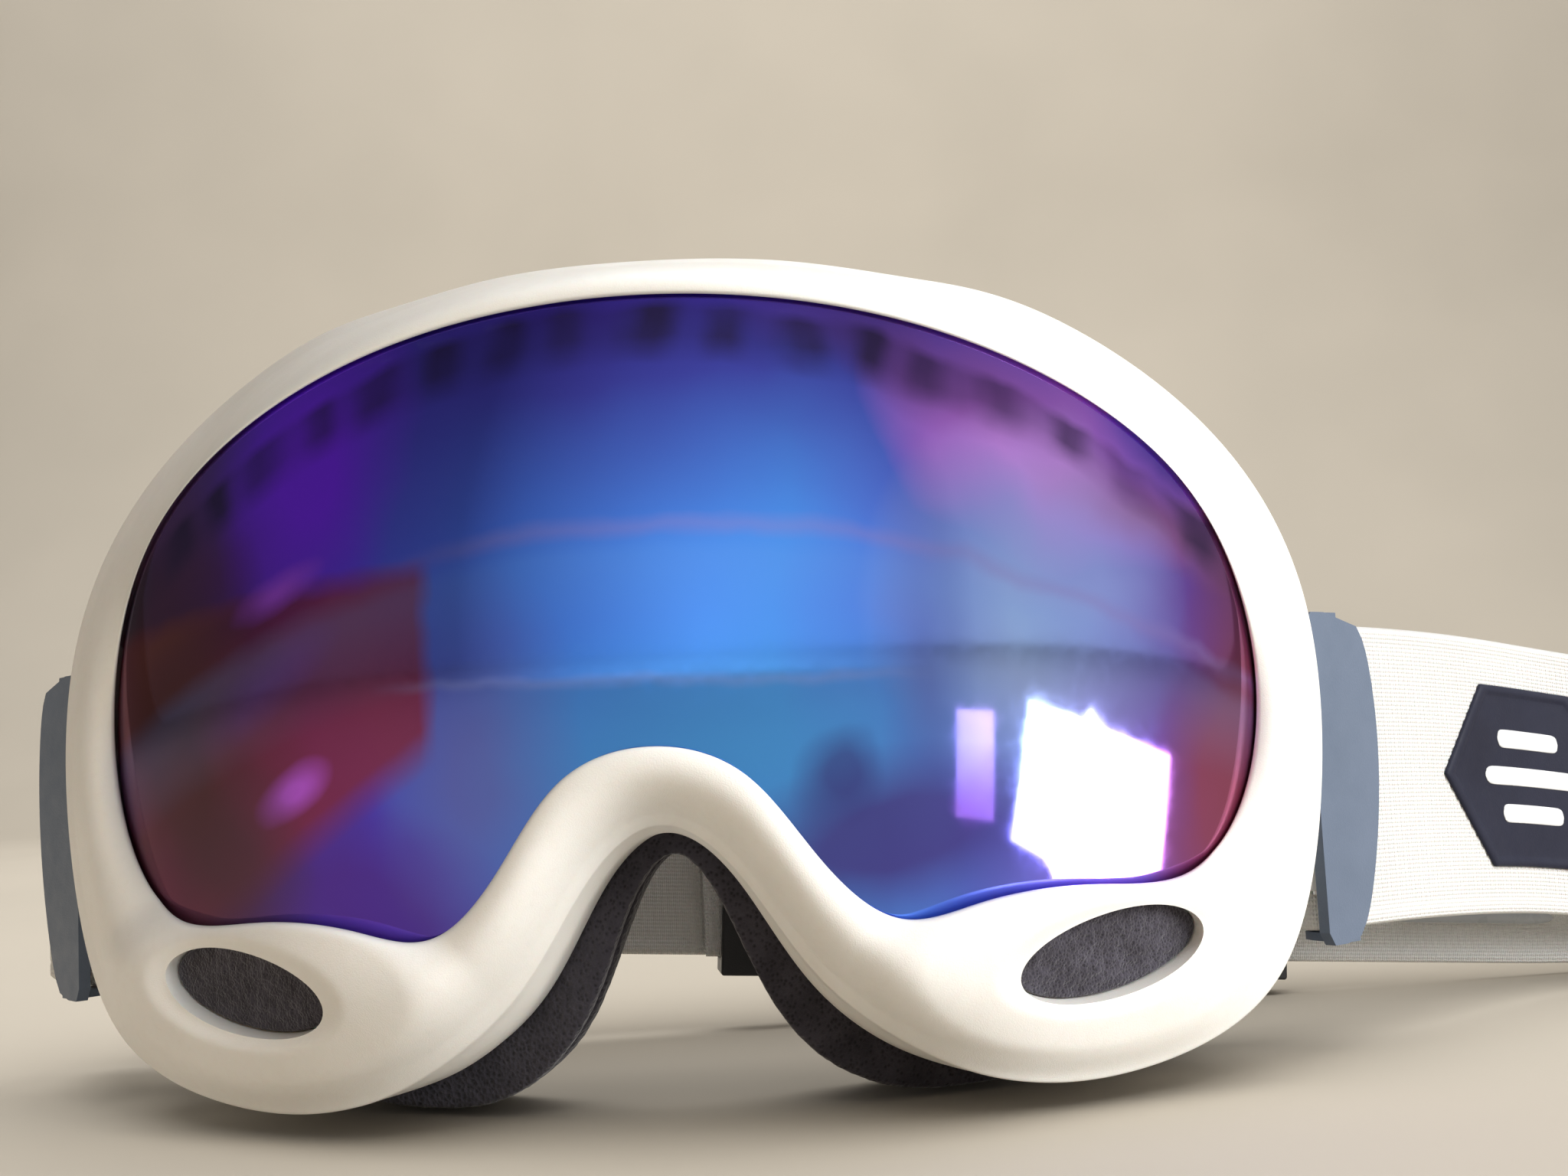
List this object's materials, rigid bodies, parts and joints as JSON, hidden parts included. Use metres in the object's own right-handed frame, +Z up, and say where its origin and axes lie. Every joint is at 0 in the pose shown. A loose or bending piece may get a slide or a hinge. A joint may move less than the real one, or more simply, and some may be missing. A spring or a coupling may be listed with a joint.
{
  "type": "ski goggles",
  "caption": "Ski goggles: moulded frame, mirrored double lens, layered face foam, hinged outriggers and an elastic strap with two sliders.",
  "frame": {"origin": "on the ground, under the middle of the whole model's box, strap included", "axes": "+X to the right of a viewer who looks at the lens (the wearer's left) and along the object's longest extent, +Y from the lens towards the wearer's face, +Z up"},
  "size_m": [0.2868, 0.1282, 0.1071],
  "materials": {
    "white_frame": "satin moulded white polyurethane",
    "mirror_lens": "blue and violet mirror coating on polycarbonate",
    "amber_lens": "clear amber anti-fog inner lens",
    "black_foam": "closed-cell foam gasket",
    "vent_foam": "open-cell filter foam",
    "face_foam": "soft matt foam",
    "fleece": "brushed fleece",
    "steel": "drawn steel pin",
    "grey_plastic": "satin blue-grey nylon",
    "white_webbing": "white elastic webbing",
    "thread": "polyester thread",
    "black_plastic": "satin black acetal",
    "silicone": "clear-grey silicone print",
    "dark_patch": "dark woven patch"
  },
  "bodies": {
    "goggle_frame": {"outer_frame": "white_frame", "outer_lens": "mirror_lens", "lens_gasket": "black_foam", "inner_lens": "amber_lens", "top_vent_foam": "vent_foam", "vent_foam_left": "vent_foam", "vent_foam_right": "vent_foam", "face_foam_base": "face_foam", "face_foam_middle": "face_foam", "face_fleece": "fleece", "hinge_bracket_left": "white_frame", "hinge_bracket_right": "white_frame", "hinge_pin_left": "steel", "hinge_pin_right": "steel", "strap_left": "white_webbing", "strap_right": "white_webbing", "end_stitch_left": "thread", "end_stitch_right": "thread", "silicone_grip_left": "silicone", "silicone_grip_right": "silicone", "strap_emblem": "dark_patch"},
    "left_outrigger": {"outrigger_left": "grey_plastic", "strap_loop_left": "white_webbing", "bar_tack_left": "thread"},
    "right_outrigger": {"outrigger_right": "grey_plastic", "strap_loop_right": "white_webbing", "bar_tack_right": "thread"},
    "left_slider": {"slider_left": "black_plastic"},
    "right_slider": {"slider_right": "black_plastic"}
  },
  "joints": [
    {"name": "left_outrigger_hinge", "type": "hinge", "parent": "goggle_frame", "child": "left_outrigger", "pos_m": [-0.12828, -0.00975, 0.03862], "axis": [0, 0, 1], "range_deg": [-22, 15], "deforming": ["strap_left"]},
    {"name": "right_outrigger_hinge", "type": "hinge", "parent": "goggle_frame", "child": "right_outrigger", "pos_m": [0.04832, -0.00975, 0.03862], "axis": [0, 0, 1], "range_deg": [-12, 28], "deforming": ["strap_right", "strap_emblem"]},
    {"name": "left_slider_slide", "type": "slide", "parent": "goggle_frame", "child": "left_slider", "axis": [0.9839, 0.164, -0.0705], "range_m": [-0.015, 0.015]},
    {"name": "right_slider_slide", "type": "slide", "parent": "goggle_frame", "child": "right_slider", "axis": [0.9839, 0.164, -0.0705], "range_m": [-0.015, 0.015]}
  ]
}
